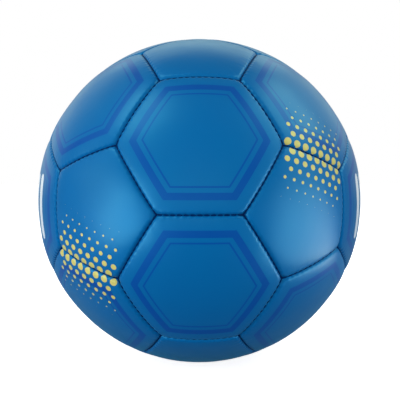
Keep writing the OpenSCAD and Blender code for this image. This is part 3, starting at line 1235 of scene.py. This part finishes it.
@dataclass(frozen=True)
class Inside:
    """The plies, the bladder and the valve, which keep their CAD shapes."""

    frame: dict

    FINISHES = {
        "foam": PlainFinish(
            "open_cell_latex_foam", "#ece6d4", "#cfc6ad", WeaveKind.CELLS, 0.6 * MM, 0.9, 0.2 * MM
        ),
        "lining": PlainFinish(
            "woven_poly_cotton", "#ddd6c2", "#b9b095", WeaveKind.WOVEN, 0.8 * MM, 0.85, 0.1 * MM
        ),
        "bladder": PlainFinish(
            "dipped_latex", "#c99f63", "#b98a4c", WeaveKind.SMOOTH, 6 * MM, 0.4, 0.05 * MM
        ),
        "patch": PlainFinish(
            "cured_latex_patch", "#b88a50", "#a1743b", WeaveKind.SMOOTH, 4 * MM, 0.55, 0.08 * MM
        ),
        "housing": PlainFinish(
            "moulded_butyl_rubber", "#17191d", "#24272c", WeaveKind.SMOOTH, 1.5 * MM, 0.5, 0.03 * MM
        ),
        "core": PlainFinish(
            "moulded_nitrile_rubber", "#2a2d33", "#393d45", WeaveKind.SMOOTH, 1 * MM, 0.42, 0.02 * MM
        ),
    }

    def build(self) -> None:
        """Gives every inner CAD node its finish by the word in its name."""
        finishes = {word: finish.build() for word, finish in self.FINISHES.items()}
        for name, node in self.frame["nodes"].items():
            words = [w for w in finishes if w in name]
            if not words:
                continue
            finish = finishes[words[0]]
            if not node.material_slots:
                node.data.materials.append(finish)
            for slot in node.material_slots:
                slot.material = finish
            LOG.info("%s is dressed as %s", name, finish.name)


def compass(azimuth: float, elevation: float = 0.0) -> Vector:
    """Gives a direction from the ball's centre.

    Args:
        azimuth: Degrees to the right from the camera's side.
        elevation: Degrees up.

    Returns:
        The direction, at length one.
    """
    turn, rise = math.radians(azimuth), math.radians(elevation)
    level = Vector((math.sin(turn), -math.cos(turn), 0)) * math.cos(rise)
    return level + Vector((0, 0, math.sin(rise)))


@dataclass(frozen=True)
class Camera:
    """The photograph's camera, placed from the ball's centre; angles are in degrees."""

    distance_in_radii: float = 3.183
    focal_pixels: float = 490.7
    sensor_mm: float = 36.0
    azimuth: float = -0.165
    elevation: float = 3.85
    roll: float = -0.07
    centre_x: float = 199.3
    centre_y: float = 200.65
    clip_start: float = 10 * MM

    def build(self, ball: BallShape) -> None:
        """Makes the camera and sets it as the scene's.

        Args:
            ball: Sizes of the ball that it looks at.
        """
        data = bpy.data.cameras.new("photo_camera")
        data.sensor_width = self.sensor_mm
        data.lens = self.focal_pixels / IMAGE_PIXELS * self.sensor_mm
        data.shift_x = (IMAGE_PIXELS / 2 - self.centre_x) / IMAGE_PIXELS
        data.shift_y = (self.centre_y - IMAGE_PIXELS / 2) / IMAGE_PIXELS
        data.clip_start = self.clip_start
        camera = put_in_scene("photo_camera", data)
        back = compass(self.azimuth, self.elevation)
        camera.location = back * self.distance_in_radii * ball.corner_r
        facing = (-back).to_track_quat("-Z", "Y")
        turn = Matrix.Rotation(math.radians(self.roll), 3, "Z").to_quaternion()
        camera.rotation_mode = "QUATERNION"
        camera.rotation_quaternion = facing @ turn
        bpy.context.scene.camera = camera
        LOG.info("the camera stands %.3f m from the ball's centre", camera.location.length)


def area_lamp(name: str, place: Vector, facing: Vector, size: tuple[float, float], glow: float) -> Object:
    """Makes an area lamp that the camera doesn't see.

    Args:
        name: The lamp's name.
        place: Its middle.
        facing: The way that it shines.
        size: Its width and height.
        glow: How bright its face is, where 1 is a white sheet in full light.

    Returns:
        The lamp.
    """
    data = bpy.data.lights.new(name, "AREA")
    data.shape = "RECTANGLE"
    data.size, data.size_y = size
    data.energy = math.pi * size[0] * size[1] * glow
    lamp = put_in_scene(name, data)
    lamp.location = place
    lamp.rotation_euler = facing.to_track_quat("-Z", "Y").to_euler()
    lamp.visible_camera = False
    return lamp


@dataclass(frozen=True)
class SoftBox:
    """One studio lamp: where it stands round the ball, its size and how bright its face is.

    A lamp that lights nothing is a card for gloss alone, in the gloss's own colour, and
    one that isn't mirrored leaves no gloss.
    """

    name: str
    azimuth: float
    elevation: float
    distance: float
    width: float
    height: float
    glow: float
    lights: bool = True
    mirrored: bool = True
    gloss: str = "#d8fff0"

    def build(self) -> None:
        """Makes the lamp, facing the ball's centre."""
        out = compass(self.azimuth, self.elevation)
        lamp = area_lamp(self.name, out * self.distance, -out, (self.width, self.height), self.glow)
        lamp.visible_diffuse = self.lights
        lamp.visible_glossy = self.mirrored
        if not self.lights:
            lamp.data.color = linear(self.gloss)[:3]


@dataclass(frozen=True)
class LeaningBoard:
    """A board for gloss alone, which leans away from the ball with one edge on the floor."""

    name: str
    azimuth: float
    near: float
    far: float
    rise: float
    width: float
    glow: float

    def build(self, floor_z: float, mirrors: Collection) -> None:
        """Makes the board as a lamp that faces up and towards the ball.

        Args:
            floor_z: Height of the floor.
            mirrors: The pieces that mirror it.
        """
        out = compass(self.azimuth)
        low = out * self.near + Vector((0, 0, floor_z))
        high = out * self.far + Vector((0, 0, floor_z + self.rise))
        facing = unit(Vector((0, 0, self.far - self.near)) - out * self.rise)
        size = (self.width, (high - low).length)
        lamp = area_lamp(self.name, (low + high) / 2, facing, size, self.glow)
        lamp.visible_diffuse = False
        lamp.light_linking.receiver_collection = mirrors


class Studio:
    """Floor, lamps and world: a white room with soft light from the sides and above."""

    LAMPS = (
        SoftBox("left_softbox", -62, 3, 0.8, 0.45, 0.5, 5.6, mirrored=False),
        SoftBox("right_softbox", 72, 3, 0.8, 0.45, 0.5, 3.2, mirrored=False),
        SoftBox("front_softbox", -5, 8, 0.9, 0.9, 0.5, 1.9, mirrored=False),
        SoftBox("back_softbox", 180, 25, 1.0, 0.9, 0.6, 2.0, mirrored=False),
        SoftBox("left_high_strip", -55, 52, 0.75, 0.36, 0.34, 5.0, lights=False),
        SoftBox("right_high_strip", 82, 45, 0.75, 0.55, 0.42, 3.3, lights=False),
        SoftBox("left_mid_strip", -75, 22, 0.8, 0.4, 0.35, 0.6, lights=False),
        SoftBox("right_mid_strip", 70, 15, 0.8, 0.4, 0.35, 1.2, lights=False),
        SoftBox("left_back_strip", -130, 25, 0.9, 0.7, 0.7, 0.4, lights=False),
        SoftBox("right_back_strip", 125, 35, 0.9, 0.7, 0.7, 0.5, lights=False),
        SoftBox("high_back_strip", 180, 50, 0.9, 0.9, 0.3, 1.0, lights=False),
    )
    BOARDS = (
        LeaningBoard("left_board", -44, 0.28, 0.65, 0.22, 0.19, 6.5),
        LeaningBoard("right_board", 61, 0.18, 0.38, 0.13, 0.19, 5.0),
    )
    FRONT = -42 * MM
    HIGH = 42 * MM
    FLOOR_HALF = 3.0
    FLOOR_GLOW = 0.75
    PAPER = "#f4f4f4"
    BOUNCE = "#7c8a9c"
    WHITE = "#ffffff"
    ROOM = 0.62
    BACKDROP_GLOSS = 0.5
    # Where the backdrop starts and is whole, as the world direction's part along +Y
    BACKDROP_START = 0.3
    BACKDROP_FULL = 0.85

    def build(self, floor_z: float, covers: list[Object]) -> None:
        """Builds the studio.

        Args:
            floor_z: Height of the floor, which is where the ball touches it.
            covers: The ball's covers.
        """
        for lamp in self.LAMPS:
            lamp.build()
        mirrors = self._front_of(covers)
        for board in self.BOARDS:
            board.build(floor_z, mirrors)
        self._floor(floor_z)
        self._world()
        bpy.context.scene.view_settings.view_transform = "Standard"
        LOG.info("the studio has %d lamps and %d boards", len(self.LAMPS), len(self.BOARDS))

    def _front_of(self, covers: list[Object]) -> Collection:
        """Gathers the low covers of the front, so that the boards don't flare at the sides.

        Args:
            covers: The ball's covers.

        Returns:
            A collection of those whose middles lie in front of FRONT and below HIGH.
        """
        front = bpy.data.collections.new("front_covers")
        for cover in covers:
            corners = [Vector(corner) for corner in cover.bound_box]
            middle = sum(corners, Vector()) / len(corners)
            if middle.y < self.FRONT and middle.z < self.HIGH:
                front.objects.link(cover)
        return front

    def _floor(self, height: float) -> None:
        """Lays a plain white floor, which keeps the ball's soft shadow.

        Args:
            height: Where it lies.
        """
        half = self.FLOOR_HALF
        mesh = bpy.data.meshes.new("floor")
        corners = [(-half, -half), (half, -half), (half, half), (-half, half)]
        mesh.from_pydata([(x, y, height) for x, y in corners], [], [(0, 1, 2, 3)])
        floor = put_in_scene("floor", mesh)
        made = bpy.data.materials.new("matt_white_paper")
        add = fresh_nodes(made)
        seen = add("ShaderNodeLightPath").outputs["Is Camera Ray"]
        paper = add("ShaderNodeBsdfDiffuse", linear(self.PAPER))
        glow = add("ShaderNodeEmission", linear(self.WHITE), self.FLOOR_GLOW)
        bright = add("ShaderNodeAddShader", paper, glow)
        matt = add("ShaderNodeBsdfDiffuse", linear(self.BOUNCE))
        add("ShaderNodeOutputMaterial", add("ShaderNodeMixShader", seen, matt, bright))
        mesh.materials.append(made)
        floor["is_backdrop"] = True

    def _world(self) -> None:
        """Makes the world white to the camera, and to gloss where the backdrop would be."""
        world = bpy.data.worlds.new("studio")
        bpy.context.scene.world = world
        add = fresh_nodes(world)
        path = add("ShaderNodeLightPath").outputs
        way = add("ShaderNodeTexCoord").outputs["Generated"]
        behind = add("ShaderNodeSeparateXYZ", way).outputs["Y"]
        backdrop = add(
            "ShaderNodeMapRange",
            behind,
            self.BACKDROP_START,
            self.BACKDROP_FULL,
            0.0,
            self.BACKDROP_GLOSS,
            interpolation_type="SMOOTHSTEP",
        )
        plain = add("MAXIMUM", path["Is Camera Ray"], path["Is Transmission Ray"])
        strength = add(MIX, path["Is Glossy Ray"], self.ROOM, backdrop, data_type="FLOAT")
        strength = add(MIX, plain, strength, 1.0, data_type="FLOAT")
        add("ShaderNodeOutputWorld", add("ShaderNodeBackground", linear(self.WHITE), strength))


def main() -> None:
    """Builds the camera, the ball and the studio in order."""
    logging.basicConfig(level=logging.INFO, format="%(name)s: %(message)s")
    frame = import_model()
    cad_box = [[float(x) for x in corner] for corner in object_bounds()]
    ball, roll = BallShape(), Roll()
    Camera().build(ball)
    covers = Covers(frame, ball, roll).build()
    Stitching(ball, roll, Stitch()).build()
    Inside(frame).build()
    Studio().build(cad_box[0][2], covers)


if __name__ == "__main__":
    main()
